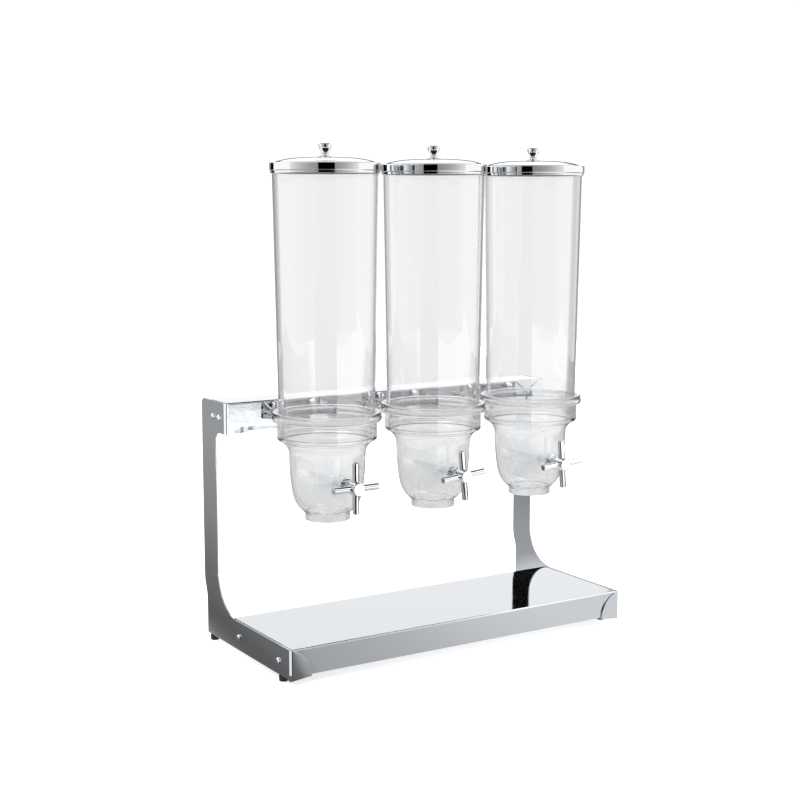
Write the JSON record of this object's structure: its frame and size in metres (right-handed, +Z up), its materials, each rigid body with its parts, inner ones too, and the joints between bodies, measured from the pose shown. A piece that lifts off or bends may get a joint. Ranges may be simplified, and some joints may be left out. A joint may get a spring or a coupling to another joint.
{
  "type": "cereal dispenser",
  "caption": "Counter-top cereal dispenser: clear tapered canisters over clear bowls with paddle wheels and cross handles, on a polished steel stand.",
  "frame": {"origin": "on the counter, at the centre of the object's footprint", "axes": "+Z up, -Y towards the person who turns the handles, +X to their right"},
  "size_m": [0.5762, 0.274, 0.725],
  "materials": {
    "polished_steel": "polished",
    "chrome": "polished",
    "clear_plastic": "gloss",
    "frosted_plastic": "satin",
    "silicone": "matte",
    "black_rubber": "matte"
  },
  "bodies": {
    "root": {"base_tray": "polished_steel", "crossbar": "polished_steel", "left_side_plate": "polished_steel", "left_base_bolt_front": "chrome", "left_base_bolt_rear": "chrome", "left_crossbar_bolt_front": "chrome", "left_crossbar_bolt_rear": "chrome", "left_foot_front": "black_rubber", "left_foot_rear": "black_rubber", "right_side_plate": "polished_steel", "right_base_bolt_front": "chrome", "right_base_bolt_rear": "chrome", "right_crossbar_bolt_front": "chrome", "right_crossbar_bolt_rear": "chrome", "right_foot_front": "black_rubber", "right_foot_rear": "black_rubber", "left_holder": "clear_plastic", "left_bowl": "clear_plastic", "left_spout_ring": "clear_plastic", "left_chute": "frosted_plastic", "left_holder_bolt_a": "chrome", "left_holder_bolt_b": "chrome", "left_shaft_bush": "chrome", "middle_holder": "clear_plastic", "middle_bowl": "clear_plastic", "middle_spout_ring": "clear_plastic", "middle_chute": "frosted_plastic", "middle_holder_bolt_a": "chrome", "middle_holder_bolt_b": "chrome", "middle_shaft_bush": "chrome", "right_holder": "clear_plastic", "right_bowl": "clear_plastic", "right_spout_ring": "clear_plastic", "right_chute": "frosted_plastic", "right_holder_bolt_a": "chrome", "right_holder_bolt_b": "chrome", "right_shaft_bush": "chrome"},
    "left_canister_unit": {"left_canister": "clear_plastic"},
    "left_lid_unit": {"left_lid": "chrome", "left_lid_gasket": "silicone", "left_lid_knob": "chrome"},
    "left_paddle_unit": {"left_paddle_wheel": "silicone", "left_shaft": "chrome", "left_handle": "chrome"},
    "middle_canister_unit": {"middle_canister": "clear_plastic"},
    "middle_lid_unit": {"middle_lid": "chrome", "middle_lid_gasket": "silicone", "middle_lid_knob": "chrome"},
    "middle_paddle_unit": {"middle_paddle_wheel": "silicone", "middle_shaft": "chrome", "middle_handle": "chrome"},
    "right_canister_unit": {"right_canister": "clear_plastic"},
    "right_lid_unit": {"right_lid": "chrome", "right_lid_gasket": "silicone", "right_lid_knob": "chrome"},
    "right_paddle_unit": {"right_paddle_wheel": "silicone", "right_shaft": "chrome", "right_handle": "chrome"}
  },
  "joints": [
    {"name": "left_handle_turn", "type": "hinge", "parent": "root", "child": "left_paddle_unit", "pos_m": [-0.1772, -0.04701, 0.2594], "axis": [0, -1, 0], "continuous": true},
    {"name": "left_canister_lift", "type": "slide", "parent": "root", "child": "left_canister_unit", "axis": [0, 0, 1], "range_m": [0, 0.06]},
    {"name": "left_lid_lift", "type": "slide", "parent": "left_canister_unit", "child": "left_lid_unit", "axis": [0, 0, 1], "range_m": [0, 0.05]},
    {"name": "middle_handle_turn", "type": "hinge", "parent": "root", "child": "middle_paddle_unit", "pos_m": [0, -0.04701, 0.2594], "axis": [0, -1, 0], "continuous": true},
    {"name": "middle_canister_lift", "type": "slide", "parent": "root", "child": "middle_canister_unit", "axis": [0, 0, 1], "range_m": [0, 0.06]},
    {"name": "middle_lid_lift", "type": "slide", "parent": "middle_canister_unit", "child": "middle_lid_unit", "axis": [0, 0, 1], "range_m": [0, 0.05]},
    {"name": "right_handle_turn", "type": "hinge", "parent": "root", "child": "right_paddle_unit", "pos_m": [0.1772, -0.04701, 0.2594], "axis": [0, -1, 0], "continuous": true},
    {"name": "right_canister_lift", "type": "slide", "parent": "root", "child": "right_canister_unit", "axis": [0, 0, 1], "range_m": [0, 0.06]},
    {"name": "right_lid_lift", "type": "slide", "parent": "right_canister_unit", "child": "right_lid_unit", "axis": [0, 0, 1], "range_m": [0, 0.05]}
  ]
}
